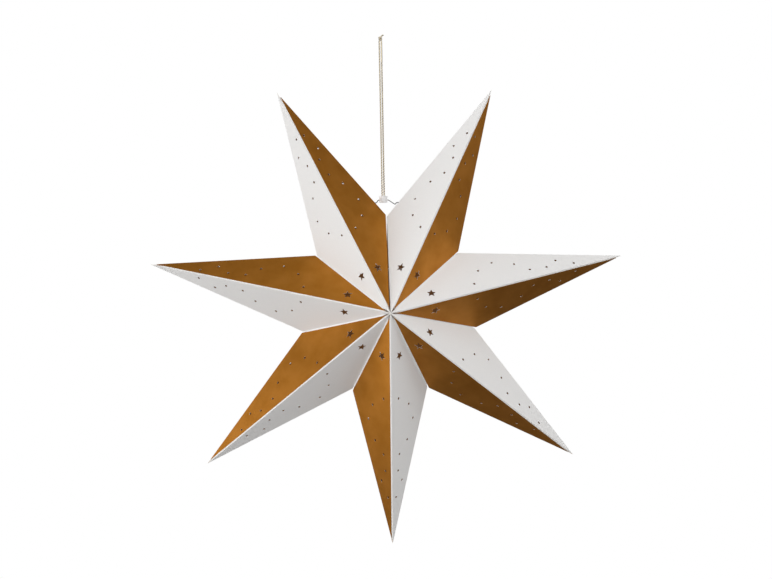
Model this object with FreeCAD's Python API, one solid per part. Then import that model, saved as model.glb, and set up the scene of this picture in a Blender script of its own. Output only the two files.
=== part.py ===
import FreeCAD, Part
import math
import os
from FreeCAD import Vector

# Seven-pointed folded paper star with a wire bracket, hung on doubled twine.
# Millimetres. +Z is up and the star faces -Y. The origin is the hanging point:
# the place between the two strands of twine, just under their knot.

# ---- star ----
tip_radius = 300.0         # centre of the star to each tip
notch_radius = 111.0       # centre to the inner corner between two points
half_depth = 75.0          # middle plane to the front or back apex
point_names = ["upper_right", "right", "lower_right", "bottom", "lower_left", "left", "upper_left"]
droop_deg = 1.27           # how far the points out to the side sag below their even spacing
seam_rise = 4.1            # the open seam is drawn this far out at the top notch
card = 0.4                 # thickness of the card

# ---- glue flaps of the white leaves, and the edges of the gold leaves that lie on them ----
flap_width = 5.0
flap_tip_margin = 2.0      # flap starts this far back from a tip or a notch
flap_apex_margin = 6.0     # and this far out from the apex
flap_tip_clear_deg = 2.5   # kept free between a flap and the silhouette fold
flap_rise_deg = 12.0       # slant of a flap's end at the apex
flap_notch_slant_deg = 45.0
gold_setback = 1.2         # gold leaf's edge to the ridge or valley line
gold_tip_gap = 7.0
apex_hole_radius = 0.5
seam_clearance = 0.15      # white leaf's loose edge to the valley line of the seam

# ---- punched pattern, measured along the ridge from the apex and square to the ridge ----
dot_radius = 1.5
dot_sides = 6              # flats round each punched dot, kept few because there are hundreds
dot_places = [(113.2, 13.0), (126.5, 31.9), (148.1, 39.7), (173.9, 28.6),
              (188.6, 13.9), (210.3, 11.2), (226.1, 18.2), (245.9, 7.0)]
star_cut_place = (60.6, 15.0)
star_cut_outer = 5.5
star_cut_inner = 2.3

# ---- twine, hub and wire bracket ----
twine_length = 190.1       # each strand, from the hub's mouth up to the knot
hub_offset = 4.0           # the twine's line passes this far left of the star's centre
twine_diameter = 1.9
strand_half_gap = 1.3      # half the spacing of the two strands, side to side
strand_stagger = 1.5       # at the hub one strand lies this far in front, the other behind
hub_radius = 5.2
hub_above_wire = 5.3       # wire's middle line to the hub's top and bottom face
hub_below_wire = 2.9
hub_edge_chamfer = 0.7
twine_clearance = 0.1
wire_diameter = 1.0
rod_sides = 8              # bent wire and twine are drawn with this many flats round them
bore_sides = 8             # and small holes with this many
wire_flat_rise = 3.2       # hook holes up to the straight that runs through the hub
wire_flat_half = 6.4       # half the straight that runs through the hub
wire_running_clearance = 0.06
bight_clearance = 0.3      # twine to the wire that hangs in its turn
hook_place = 14.5          # centre of the star sideways to each hook hole
hook_clearance = 0.4       # hole radius over wire radius
hook_reach = 2.0           # straight pin outside the fold
hook_bore_reach = 4.5      # the hook hole is bored this far to each side of the fold
right_dip = (10.5, 2.3)    # low corner of the right arm: sideways from the centre, below the holes
leg_place = 20.0           # centre of the star to each inner leg
wire_bend_radius = 2.5
wire_tight_radius = 0.9

# ---- knot ----
knot_radius = 2.5
knot_height = 5.6
tail_length = 5.4
tail_lean_deg = 38.0

# ---- battery lamp inside ----
cut_margin = 1.0           # cutting tools reach this far past the faces they open
lamp_top = 50.0            # above the star's centre
case_width = 54.0
case_height = 52.0
case_front = 7.0           # leg line to the front face
case_back = 9.0            # leg line to the back face
case_wall = 1.5
case_corner_radius = 3.0
case_top_wall = 6.0
socket_depth = 5.0
socket_clearance = 0.05
cell_radius = 5.2
cell_sides = 20            # flats round each cell, kept few because it is hidden
cell_length = 44.5
cell_nub_radius = 1.9
cell_nub_length = 1.3
cell_pitch = 11.0
cell_count = 3
bay_length = 46.8
bay_height = 33.0
bay_floor = 2.0
contact_thickness = 0.4
contact_size = 8.0
contact_leaf = 3.0         # half height of the bent leaf at a cell's minus end
contact_leaf_width = 4.0
door_thickness = 1.6
door_overlap = 1.6         # door past the bay at its ends
door_clearance = 0.25
tongue_depth = 1.0
tongue_thickness = 0.8
grip_count = 4             # thumb grooves in the door
grip_pitch = 1.6
grip_depth = 0.5
grip_margin = 9.0          # door's edge to the ends of the grooves
board_length = 24.0
board_width = 11.0
board_thickness = 1.2
board_clearance = 0.3
ledge = 1.2
case_bottom_wall = 2.0
cup_length = 34.0
cup_depth = 13.6
cup_height = 16.0
cup_wall = 1.0
cup_taper = 1.5            # each side leans in by this much over the cup's height
cup_bevel = 2.5
led_size = 3.0
led_thickness = 0.8
led_pitch = 7.0
led_count = 3
knob_length = 4.0
knob_height = 2.6
knob_stand = 1.5
knob_groove = 0.5          # width and spacing of the grooves across the knob
knob_travel = 3.0
knob_clearance = 0.3
switch_length = 10.0
switch_height = 5.0
switch_depth = 4.0

twine_radius = twine_diameter / 2
wire_radius = wire_diameter / 2
point_count = len(point_names)
step_deg = 360.0 / point_count
across = Vector(1, 0, 0)
forward = Vector(0, 1, 0)
upward = Vector(0, 0, 1)
middle_plane = (forward, 0.0)


# ---------------------------------------------------------------- geometry helpers

def unit(v):
    return v * (1.0 / v.Length)


def drooped(even_deg):
    """Azimuth of a spoke in radians, sagged a little where it points sideways."""
    even = math.radians(even_deg)
    return even - math.radians(droop_deg) * math.cos(even)


def spoke(azimuth, radius):
    return Vector(radius * math.cos(azimuth), 0, radius * math.sin(azimuth))


def tip(k):
    """Tip of point k, counted clockwise from the upper right."""
    return spoke(drooped(90.0 - step_deg * (k + 0.5)), tip_radius)


def notch(k):
    """Inner corner before point k; corner 0 is the open seam at the top."""
    radius = notch_radius + (seam_rise if k % point_count == 0 else 0.0)
    return spoke(drooped(90.0 - step_deg * k), radius)


def hook_height():
    """Height of the silhouette fold above the star's centre where the wire hooks in."""
    low, high = notch(0), tip(0)
    return low.z + (high.z - low.z) * hook_place / high.x


wire_flat_height = hook_height() + wire_flat_rise
hub_top = wire_flat_height + hub_above_wire
hub_bottom = wire_flat_height - hub_below_wire
star_drop = hub_top + twine_length
centre = Vector(hub_offset, 0, -star_drop)


def meet(plane_a, plane_b, plane_c):
    """The point that three planes share. A plane is (unit normal, distance)."""
    (a, da), (b, db), (c, dc) = plane_a, plane_b, plane_c
    bc, ca, ab = b.cross(c), c.cross(a), a.cross(b)
    return (bc * da + ca * db + ab * dc) * (1.0 / a.dot(bc))


def facet(tip_point, notch_point):
    """A front facet's apex, outward normal, and the two directions along ridge and valley."""
    apex = Vector(0, -half_depth, 0)
    normal = unit((tip_point - apex).cross(notch_point - apex))
    if normal.y > 0:
        normal = -normal
    return {
        "apex": apex,
        "normal": normal,
        "ridge": unit(tip_point - apex),
        "valley": unit(notch_point - apex),
        "ridge_length": (tip_point - apex).Length,
        "valley_length": (notch_point - apex).Length,
        "tip_angle": (apex - tip_point).getAngle(notch_point - tip_point),
    }


def inward(f, along):
    """Direction in the facet, square to its edge, pointing into the facet."""
    side = unit(f["normal"].cross(f[along]))
    other = f["valley"] if along == "ridge" else f["ridge"]
    return side if side.dot(other) > 0 else -side


def place(f, along, distance, width):
    """Point in the facet, measured along one of its edges and square to it."""
    return f["apex"] + f[along] * distance + inward(f, along) * width


def cut_edge(f, point, direction):
    """Plane of a straight cut through the card, square to its face."""
    normal = unit(direction.cross(f["normal"]))
    return (normal, normal.dot(point))


def fold(f, g):
    """Mitre plane of the fold between two facets that share an edge through the apex."""
    normal = unit(f["normal"] - g["normal"])
    return (normal, normal.dot(f["apex"]))


def polygon(points):
    return Part.Face(Part.makePolygon(points + points[:1]))


def ring_of_corners(radius, sides, middle, axis):
    """Corners of a regular polygon square to an axis, with flats as far out as a circle."""
    first = unit(axis.cross(upward if abs(axis.z) < 0.9 * axis.Length else across))
    second = unit(axis.cross(first))
    reach = radius / math.cos(math.pi / sides)
    turns = [2 * math.pi * i / sides for i in range(sides)]
    return [middle + first * (reach * math.cos(a)) + second * (reach * math.sin(a)) for a in turns]


def prism(radius, sides, start, along):
    return polygon(ring_of_corners(radius, sides, start, along)).extrude(along)


def block(x0, x1, y0, y1, z0, z1):
    return Part.makeBox(x1 - x0, y1 - y0, z1 - z0, Vector(x0, y0, z0))


def turned(outline):
    """Solid of revolution about Z from (radius, height) corners."""
    return polygon([Vector(r, 0, z) for r, z in outline]).revolve(Vector(0, 0, 0), upward, 360)


def stacked(rings):
    """Solid with flat faces between rings of corners that lie one over the other."""
    faces = [polygon(rings[0]), polygon(rings[-1])]
    for top, bottom in zip(rings, rings[1:]):
        for i in range(len(top)):
            j = (i + 1) % len(top)
            faces.append(polygon([top[i], top[j], bottom[j], bottom[i]]))
    solid = Part.makeSolid(Part.makeShell(faces))
    if solid.Volume < 0:
        solid.reverse()
    return solid


def plate(f, sides, outer, inner):
    """Flat card between two levels over the facet, bounded by side planes in order."""
    base = f["normal"].dot(f["apex"])
    rings = []
    for level in (outer, inner):
        face_plane = (f["normal"], base + level)
        rings.append([meet(face_plane, sides[i - 1], sides[i]) for i in range(len(sides))])
    return stacked(rings)


# ---------------------------------------------------------------- paper leaves

def punches(f):
    """Tools for the eight dots and the five-pointed star of one facet."""
    reach = f["normal"] * (4 * card)
    tools = []
    for along, off in dot_places:
        spot = place(f, "ridge", along, off)
        tools.append(prism(dot_radius, dot_sides, spot - reach, f["normal"] * (8 * card)))
    corners = []
    for i in range(10):
        radius = star_cut_outer if i % 2 == 0 else star_cut_inner
        turn = math.radians(36.0 * i)
        corners.append(place(f, "ridge", star_cut_place[0] + radius * math.cos(turn),
                             star_cut_place[1] + radius * math.sin(turn)) - reach)
    tools.append(polygon(corners).extrude(f["normal"] * (8 * card)))
    return tools


def flap(f, along, length, end_slant, mitre):
    """Glue flap folded into facet f along its ridge or valley, just under the gold card."""
    rise = math.radians(flap_rise_deg)
    back = inward(f, along)
    start = place(f, along, flap_apex_margin, 0)
    end = place(f, along, length - flap_tip_margin, 0)
    sides = [
        mitre,
        cut_edge(f, end, f[along] * -math.cos(end_slant) + back * math.sin(end_slant)),
        cut_edge(f, place(f, along, 0, flap_width), f[along]),
        cut_edge(f, start, f[along] * math.cos(rise) + back * math.sin(rise)),
    ]
    return plate(f, sides, 0.0, -card)


def both_sides(front_half):
    """Front facet and its mirror image behind, joined by the fold along the silhouette."""
    whole = front_half.fuse(front_half.mirror(Vector(0, 0, 0), forward))
    rim = Part.makeCylinder(apex_hole_radius, 4 * half_depth, forward * (-2 * half_depth), forward)
    return whole.cut(rim).removeSplitter()


def white_leaf(k):
    own = facet(tip(k), notch(k))
    over_ridge = facet(tip(k), notch(k + 1))
    over_valley = facet(tip(k - 1), notch(k))
    ridge_fold = fold(own, over_ridge)
    seam = k == 0
    if seam:
        valley_side = cut_edge(own, place(own, "valley", 0, seam_clearance), own["valley"])
    else:
        valley_side = fold(own, over_valley)
    half = plate(own, [ridge_fold, middle_plane, valley_side], 0.0, -card)
    tip_slant = over_ridge["tip_angle"] - math.radians(flap_tip_clear_deg)
    flaps = [flap(over_ridge, "ridge", over_ridge["ridge_length"], tip_slant, ridge_fold)]
    if not seam:
        notch_slant = math.radians(flap_notch_slant_deg)
        flaps.append(flap(over_valley, "valley", over_valley["valley_length"], notch_slant, valley_side))
    half = half.fuse(flaps).cut(punches(own))
    return both_sides(half)


def gold_leaf(k):
    own = facet(tip(k), notch(k + 1))
    near_tip = place(own, "ridge", own["ridge_length"] - gold_tip_gap, 0)
    half = plate(own, [
        cut_edge(own, place(own, "ridge", 0, gold_setback), own["ridge"]),
        cut_edge(own, near_tip, inward(own, "ridge")),
        middle_plane,
        cut_edge(own, place(own, "valley", 0, gold_setback), own["valley"]),
    ], card, 0.0)
    return both_sides(half.cut(punches(own)))


def hook_tool(side):
    """Bore along X through the silhouette fold beside the open seam."""
    start = Vector(side * (hook_place - hook_bore_reach), 0, hook_height())
    return prism(wire_radius + hook_clearance, bore_sides, start, across * (side * 2 * hook_bore_reach))


# ---------------------------------------------------------------- wires and twine

def bent_rod(points, radii, rod_radius):
    """Round rod along straight runs joined by tangent arcs, one radius per inner point."""
    edges = []
    at = points[0]
    for i in range(1, len(points) - 1):
        before = unit(points[i - 1] - points[i])
        after = unit(points[i + 1] - points[i])
        half_turn = (math.pi - before.getAngle(after)) / 2
        back = radii[i - 1] * math.tan(half_turn)
        a, b = points[i] + before * back, points[i] + after * back
        bulge = unit(before + after) * (radii[i - 1] / math.cos(half_turn) - radii[i - 1])
        if (a - at).Length > 1e-6:
            edges.append(Part.LineSegment(at, a).toShape())
        edges.append(Part.Arc(a, points[i] + bulge, b).toShape())
        at = b
    edges.append(Part.LineSegment(at, points[-1]).toShape())
    return rod_along(edges, points[0], points[1] - points[0], rod_radius)


def rod_along(edges, start, direction, rod_radius):
    """Faceted round rod swept along edges; its corners lie on the round of the real rod."""
    inner = rod_radius * math.cos(math.pi / rod_sides)
    corners = ring_of_corners(inner, rod_sides, start, direction)
    profile = Part.makePolygon(corners + corners[:1])
    spine = Part.Wire(edges)
    rod = spine.makePipeShell([profile], True, False)
    section = polygon(corners).Area
    print("rod length %.1f, volume ratio %.4f" % (spine.Length, rod.Volume / (section * spine.Length)))
    return rod


def wire_bracket():
    """One wire: leg, pin, arm, flat through the hub, arm with a dip, pin, leg."""
    pin = hook_height()
    foot = lamp_top - socket_depth
    dip_across, dip_drop = right_dip
    points = [
        Vector(-leg_place, 0, foot),
        Vector(-leg_place, 0, pin),
        Vector(-hook_place + hook_reach, 0, pin),
        Vector(-hub_offset - wire_flat_half, 0, wire_flat_height),
        Vector(-hub_offset + wire_flat_half, 0, wire_flat_height),
        Vector(dip_across, 0, pin - dip_drop),
        Vector(hook_place - hook_reach + 0.2, 0, pin),
        Vector(leg_place, 0, pin),
        Vector(leg_place, 0, foot),
    ]
    tight = wire_tight_radius
    radii = [wire_bend_radius, tight, tight, tight, tight, tight, wire_bend_radius]
    return bent_rod(points, radii, wire_radius)


def strand(side):
    """One of the two straight strands from the hub's mouth up to the knot."""
    foot = Vector(side * strand_half_gap, side * strand_stagger, hub_top - star_drop)
    head = Vector(side * strand_half_gap, 0, 0)
    along = unit(head - foot)
    spare = along * twine_diameter
    rod = Part.makeCylinder(twine_radius, (head - foot + spare * 2).Length, foot - spare, along)
    half = 2 * hub_radius
    return rod.common(block(-half, half, -half, half, foot.z, head.z))


def bight_points():
    """Route of the twine under the wire: down one hole of the hub and up the other."""
    step = Vector(strand_half_gap, strand_stagger, 0)
    arc_radius = step.Length
    inner_bottom = wire_flat_height - wire_radius - bight_clearance
    low = inner_bottom + arc_radius - twine_radius - star_drop
    return step, arc_radius, low, hub_top - star_drop


def twine_bight():
    step, arc_radius, low, top = bight_points()
    left, right = -step, step
    edges = [
        Part.LineSegment(left + upward * top, left + upward * low).toShape(),
        Part.Arc(left + upward * low, upward * (low - arc_radius), right + upward * low).toShape(),
        Part.LineSegment(right + upward * low, right + upward * top).toShape(),
    ]
    return rod_along(edges, left + upward * top, -upward, twine_radius)


def twine_knot():
    """Overhand knot of the doubled twine, pulled tight to a bulb, with its two cut tails."""
    knot = turned([(0, 0), (knot_radius * 0.75, 0), (knot_radius, knot_height * 0.3),
                   (knot_radius, knot_height * 0.65), (knot_radius * 0.6, knot_height), (0, knot_height)])
    lean = math.radians(tail_lean_deg)
    out = Vector(math.sin(lean), 0, math.cos(lean)) * tail_length
    start = upward * (knot_height * 0.55)
    for side in (-1, 1):
        tail = prism(twine_radius * 0.95, bore_sides, start + forward * (side * twine_radius), out)
        knot = knot.fuse(tail)
    return knot.removeSplitter()


def hub_button():
    """Round plastic button that keeps twine and wire together, with a mouth for the bight."""
    height = hub_top - hub_bottom
    base = upward * (hub_bottom - star_drop)
    edge = hub_edge_chamfer
    body = turned([(0, 0), (hub_radius - edge, 0), (hub_radius, edge), (hub_radius, height - edge),
                   (hub_radius - edge, height), (0, height)])
    body.translate(base)
    step, arc_radius, low, top = bight_points()
    hole = twine_radius + twine_clearance
    tools = []
    for side in (-1, 1):
        tools.append(prism(hole, bore_sides, step * side + base, upward * height))
    slot = Part.makeBox(2 * arc_radius, 2 * hole, low - base.z, Vector(-arc_radius, -hole, base.z))
    slot.rotate(Vector(0, 0, 0), upward, math.degrees(math.atan2(step.y, step.x)))
    tools.append(slot)
    flat = Vector(-2 * hub_radius, 0, wire_flat_height - star_drop)
    tools.append(Part.makeCylinder(wire_radius + wire_running_clearance, 4 * hub_radius, flat, across))
    return body.cut(tools).removeSplitter()


# ---------------------------------------------------------------- battery lamp

case_bottom = lamp_top - case_height
bay_top = lamp_top - case_top_wall
bay_bottom = bay_top - bay_height
lower_top = bay_bottom - bay_floor
board_face = case_bottom + case_bottom_wall
board_top = board_face + board_thickness
door_left = -bay_length / 2 - door_overlap
door_right = bay_length / 2 + door_overlap
door_face = case_back - door_thickness
knob_centre_z = (lower_top + board_top) / 2


def lamp_case():
    """Moulded case: leg sockets on top, cell bay open to the back, LED bay open below."""
    half = case_width / 2
    body = block(-half, half, -case_front, case_back, case_bottom, lamp_top)
    uprights = [e for e in body.Edges if abs(e.tangentAt(e.FirstParameter).z) > 0.99]
    body = body.makeFillet(case_corner_radius, uprights)
    inner_front = -case_front + case_wall
    tools = [
        block(-bay_length / 2, bay_length / 2, inner_front, case_back + cut_margin, bay_bottom, bay_top),
        block(door_left - door_clearance, half + cut_margin,
              door_face - door_clearance, case_back + cut_margin,
              bay_bottom - door_clearance, bay_top + door_clearance),
        block(door_left - door_clearance, half + cut_margin, door_face - door_clearance,
              door_face + tongue_thickness + door_clearance,
              bay_bottom - tongue_depth - door_clearance, bay_top + tongue_depth + door_clearance),
        block(-half + case_wall, half - case_wall, inner_front, case_back - case_wall,
              board_top, lower_top),
        block(-board_length / 2 - board_clearance, board_length / 2 + board_clearance,
              -board_width / 2 - board_clearance, board_width / 2 + board_clearance,
              board_face, board_top + cut_margin),
        block(-board_length / 2 + ledge, board_length / 2 - ledge,
              -board_width / 2 + ledge, board_width / 2 - ledge, case_bottom - cut_margin, board_top),
        block(-knob_length / 2 - knob_clearance, knob_length / 2 + knob_travel + knob_clearance,
              case_back - case_wall - cut_margin, case_back + cut_margin,
              knob_centre_z - knob_height / 2 - knob_clearance,
              knob_centre_z + knob_height / 2 + knob_clearance),
    ]
    for side in (-1, 1):
        socket = Part.makeCylinder(wire_radius + socket_clearance, socket_depth,
                                   Vector(side * leg_place, 0, lamp_top - socket_depth))
        tools.append(socket)
    return body.cut(tools).removeSplitter()


def battery_door():
    """Sliding back door with a tongue along its top and bottom edge and a thumb groove."""
    plate_body = block(door_left, door_right, door_face, case_back, bay_bottom, bay_top)
    tongues = block(door_left, door_right, door_face, door_face + tongue_thickness,
                    bay_bottom - tongue_depth, bay_top + tongue_depth)
    door = plate_body.fuse(tongues)
    for i in range(grip_count):
        x = door_left + (i + 2) * grip_pitch
        groove = block(x, x + grip_pitch / 2, case_back - grip_depth, case_back + cut_margin,
                       bay_bottom + grip_margin, bay_top - grip_margin)
        door = door.cut(groove)
    return door.removeSplitter()


def cell_height(i):
    return (bay_top + bay_bottom) / 2 + cell_pitch * (i - (cell_count - 1) / 2)


def battery_cell(i):
    """AAA cell lying along X; its neighbours lie the other way round."""
    facing = 1 if i % 2 == 0 else -1
    start = Vector(-facing * cell_length / 2, 0, cell_height(i))
    body_length = cell_length - cell_nub_length
    can = prism(cell_radius, cell_sides, start, across * (facing * body_length))
    nub_start = start + across * (facing * body_length)
    nub = prism(cell_nub_radius, bore_sides, nub_start, across * (facing * cell_nub_length))
    return can.fuse(nub).removeSplitter()


def battery_contacts():
    """Pressed contacts on both end walls: a button at each plus end, a bent leaf at each minus end."""
    wall = bay_length / 2
    pieces = []
    for i in range(cell_count):
        z = cell_height(i)
        for side in (-1, 1):
            plus = side == (1 if i % 2 == 0 else -1)
            inner = wall - contact_thickness
            pad = block(inner, wall, -contact_size / 2, contact_size / 2,
                        z - contact_size / 2, z + contact_size / 2)
            if plus:
                press = block(cell_length / 2, inner, -cell_nub_radius, cell_nub_radius,
                              z - cell_nub_radius, z + cell_nub_radius)
            else:
                y, skin, nose = -contact_leaf_width / 2, contact_thickness, cell_length / 2
                outline = [Vector(inner, y, z - contact_leaf), Vector(nose, y, z - skin / 2),
                           Vector(nose, y, z + skin / 2), Vector(inner, y, z + contact_leaf),
                           Vector(inner, y, z + contact_leaf - skin), Vector(nose + skin, y, z),
                           Vector(inner, y, z - contact_leaf + skin)]
                press = polygon(outline).extrude(forward * contact_leaf_width)
            contact = pad.fuse(press).removeSplitter()
            if side < 0:
                contact = contact.mirror(Vector(0, 0, 0), across)
            pieces.append(contact)
    return Part.makeCompound(pieces)


def led_board():
    return block(-board_length / 2, board_length / 2, -board_width / 2, board_width / 2,
                 board_face, board_top)


def led_chips():
    """Flat LED chips on the underside of the board."""
    pieces = []
    for i in range(led_count):
        x = led_pitch * (i - (led_count - 1) / 2)
        pieces.append(block(x - led_size / 2, x + led_size / 2, -led_size / 2, led_size / 2,
                            board_face - led_thickness, board_face))
    return Part.makeCompound(pieces)


def tapered(length, depth, height, bevel):
    """Block that hangs from the case, its sides leaning in and its lower edge bevelled."""
    side = 1 - bevel / height
    rings = []
    for level, inset in ((0, 0), (side, cup_taper * side), (1, cup_taper + bevel)):
        x, y, z = length / 2 - inset, depth / 2 - inset, case_bottom - height * level
        rings.append([Vector(x, y, z), Vector(-x, y, z), Vector(-x, -y, z), Vector(x, -y, z)])
    return stacked(rings)


def lamp_cup():
    """Frosted cup under the case that spreads the light, open at the top."""
    outside = tapered(cup_length, cup_depth, cup_height, cup_bevel)
    inside = tapered(cup_length - 2 * cup_wall, cup_depth - 2 * cup_wall, cup_height - cup_wall, cup_bevel)
    return outside.cut(inside)


def switch_body():
    back = case_back - case_wall
    return block(-switch_length / 2 + knob_travel / 2, switch_length / 2 + knob_travel / 2,
                 back - switch_depth, back,
                 knob_centre_z - switch_height / 2, knob_centre_z + switch_height / 2)


def switch_knob():
    """Ribbed slider that stands out of the slot in the back wall."""
    back = case_back - case_wall
    knob = block(-knob_length / 2, knob_length / 2, back, case_back + knob_stand,
                 knob_centre_z - knob_height / 2, knob_centre_z + knob_height / 2)
    face = case_back + knob_stand
    for i in (-1, 0, 1):
        left = (2 * i - 0.5) * knob_groove
        groove = block(left, left + knob_groove, face - knob_groove, face + cut_margin,
                       knob_centre_z - knob_height, knob_centre_z + knob_height)
        knob = knob.cut(groove)
    return knob


# ---------------------------------------------------------------- assembly

def at_star(shape):
    """Moves a shape built round the star's centre to its place under the hanging point."""
    moved = shape.copy()
    moved.translate(centre)
    return moved


parts = {
    "twine_knot": twine_knot(),
    "twine_left": strand(-1),
    "twine_right": strand(1),
    "twine_bight": twine_bight(),
    "hub_button": hub_button(),
    "wire_bracket": at_star(wire_bracket()),
    "lamp_case": at_star(lamp_case()),
    "battery_door": at_star(battery_door()),
    "battery_contacts": at_star(battery_contacts()),
    "led_board": at_star(led_board()),
    "led_chips": at_star(led_chips()),
    "lamp_cup": at_star(lamp_cup()),
    "switch_body": at_star(switch_body()),
    "switch_knob": at_star(switch_knob()),
}
for i in range(cell_count):
    parts["battery_cell_%d" % (i + 1)] = at_star(battery_cell(i))
for k, name in enumerate(point_names):
    white = white_leaf(k)
    gold = gold_leaf(k)
    if k == 0:
        white = white.cut(hook_tool(1))
    if k == point_count - 1:
        gold = gold.cut(hook_tool(-1))
    parts["white_leaf_" + name] = at_star(white)
    parts["gold_leaf_" + name] = at_star(gold)

os.makedirs("parts", exist_ok=True)
for name, shape in parts.items():
    if not shape.isValid():
        print("not valid:", name)
    print("%-26s solids %d  volume %9.1f" % (name, len(shape.Solids), shape.Volume))
    shape.exportStep("parts/%s.step" % name)
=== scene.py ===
import math
import bpy
from mathutils import Matrix, Vector
from mathutils.geometry import intersect_line_line


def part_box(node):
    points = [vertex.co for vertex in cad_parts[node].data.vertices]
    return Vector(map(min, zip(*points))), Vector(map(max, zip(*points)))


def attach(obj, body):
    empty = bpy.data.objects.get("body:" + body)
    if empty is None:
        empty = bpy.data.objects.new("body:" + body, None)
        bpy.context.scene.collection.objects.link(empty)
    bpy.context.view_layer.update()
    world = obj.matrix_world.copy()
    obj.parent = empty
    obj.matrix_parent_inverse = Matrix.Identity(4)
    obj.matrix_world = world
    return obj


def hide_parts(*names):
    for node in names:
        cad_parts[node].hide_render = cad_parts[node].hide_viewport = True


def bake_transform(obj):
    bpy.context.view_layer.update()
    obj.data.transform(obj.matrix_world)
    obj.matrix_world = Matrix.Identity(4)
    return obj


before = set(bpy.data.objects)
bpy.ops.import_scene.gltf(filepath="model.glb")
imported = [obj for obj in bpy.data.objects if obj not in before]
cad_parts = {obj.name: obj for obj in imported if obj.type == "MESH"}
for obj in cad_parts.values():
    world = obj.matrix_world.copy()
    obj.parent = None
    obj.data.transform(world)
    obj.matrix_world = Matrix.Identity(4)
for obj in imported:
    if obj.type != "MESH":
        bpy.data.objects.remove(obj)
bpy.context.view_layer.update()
scene = bpy.context.scene
scene.view_settings.view_transform = "Standard"


# ---------------------------------------------------------------- camera and room
# The star hangs at eye height in a plain white studio. The camera stands 1.2 m in front of it,
# a little to the left and above its middle.

camera_place = (-0.0333, -1.1959, -0.2361)
camera_turn_deg = (86.613, 1.074, -1.720)
bpy.ops.object.camera_add(location=camera_place, rotation=[math.radians(turn) for turn in camera_turn_deg])
camera = bpy.context.object
camera.data.sensor_width = 36.0
camera.data.lens = 44.65
camera.data.clip_start = 0.01
camera.data.clip_end = 50.0
scene.camera = camera


def soft_lamp(name, place, aim, size, power, colour):
    """Square area lamp at a place, turned to a point."""
    bpy.ops.object.light_add(type="AREA", location=place)
    lamp = bpy.context.object
    lamp.name = name
    lamp.data.shape = "SQUARE"
    lamp.data.size = size
    lamp.data.energy = power
    lamp.data.color = colour
    lamp.rotation_euler = (Vector(aim) - Vector(place)).to_track_quat("-Z", "Y").to_euler()


star_middle = Vector((0.004, 0.0, -0.33051))
warm, neutral = (1.0, 0.99, 0.975), (1.0, 0.998, 0.99)
soft_lamp("left_lamp", (-2.07, -0.73, -0.36), star_middle, 2.4, 23.5, warm)
soft_lamp("top_lamp", (0.00, -0.82, 1.71), star_middle, 1.6, 6.5, neutral)
soft_lamp("upper_right_lamp", (1.34, -1.14, 1.00), star_middle, 1.6, 9.0, neutral)
soft_lamp("right_lamp", (2.08, -0.73, -0.33), star_middle, 1.6, 8.0, neutral)
soft_lamp("lower_left_lamp", (-1.32, -1.14, -1.65), star_middle, 1.6, 10.2, neutral)
soft_lamp("front_lamp", (-0.21, -2.12, 0.20), star_middle, 1.6, 21.5, neutral)
soft_lamp("back_left_lamp", (-1.1, 1.8, 0.4), star_middle, 1.6, 12.0, warm)
soft_lamp("back_right_lamp", (1.2, 1.8, 0.2), star_middle, 1.6, 14.0, neutral)

# Soft daylight all round, brightest from the upper left, and a plain white background.
world = bpy.data.worlds.new("studio")
scene.world = world
world.use_nodes = True
nodes, links = world.node_tree.nodes, world.node_tree.links
nodes.clear()
direction = nodes.new("ShaderNodeTexCoord")
toward_light = nodes.new("ShaderNodeVectorMath")
toward_light.operation = "DOT_PRODUCT"
toward_light.inputs[1].default_value = (-0.55, -0.15, 0.8)
level = nodes.new("ShaderNodeMapRange")
level.inputs["From Min"].default_value = -1.0
level.inputs["From Max"].default_value = 1.0
level.inputs["To Min"].default_value = 0.18
level.inputs["To Max"].default_value = 0.26
room = nodes.new("ShaderNodeBackground")
backdrop = nodes.new("ShaderNodeBackground")
backdrop.inputs["Color"].default_value = (1.0, 1.0, 1.0, 1.0)
ray = nodes.new("ShaderNodeLightPath")
seen = nodes.new("ShaderNodeMath")
seen.operation = "MAXIMUM"
choose = nodes.new("ShaderNodeMixShader")
world_output = nodes.new("ShaderNodeOutputWorld")
links.new(direction.outputs["Generated"], toward_light.inputs[0])
links.new(toward_light.outputs["Value"], level.inputs["Value"])
links.new(level.outputs["Result"], room.inputs["Strength"])
links.new(ray.outputs["Is Camera Ray"], seen.inputs[0])
links.new(ray.outputs["Is Transmission Ray"], seen.inputs[1])
links.new(seen.outputs["Value"], choose.inputs["Fac"])
links.new(room.outputs["Background"], choose.inputs[1])
links.new(backdrop.outputs["Background"], choose.inputs[2])
links.new(choose.outputs["Shader"], world_output.inputs["Surface"])


# ---------------------------------------------------------------- floor
# Pale studio floor, well under the hanging star. It keeps the star's faint shadow and fades into
# the white background toward its edge.

def finish_of(name, colour, roughness, metallic=0.0):
    """A new material with its shader's plain values; returns the material and its shader."""
    material = bpy.data.materials.new(name)
    material.use_nodes = True
    shader = material.node_tree.nodes["Principled BSDF"]
    shader.inputs["Base Color"].default_value = (*colour, 1.0)
    shader.inputs["Roughness"].default_value = roughness
    shader.inputs["Metallic"].default_value = metallic
    return material, shader


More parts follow.
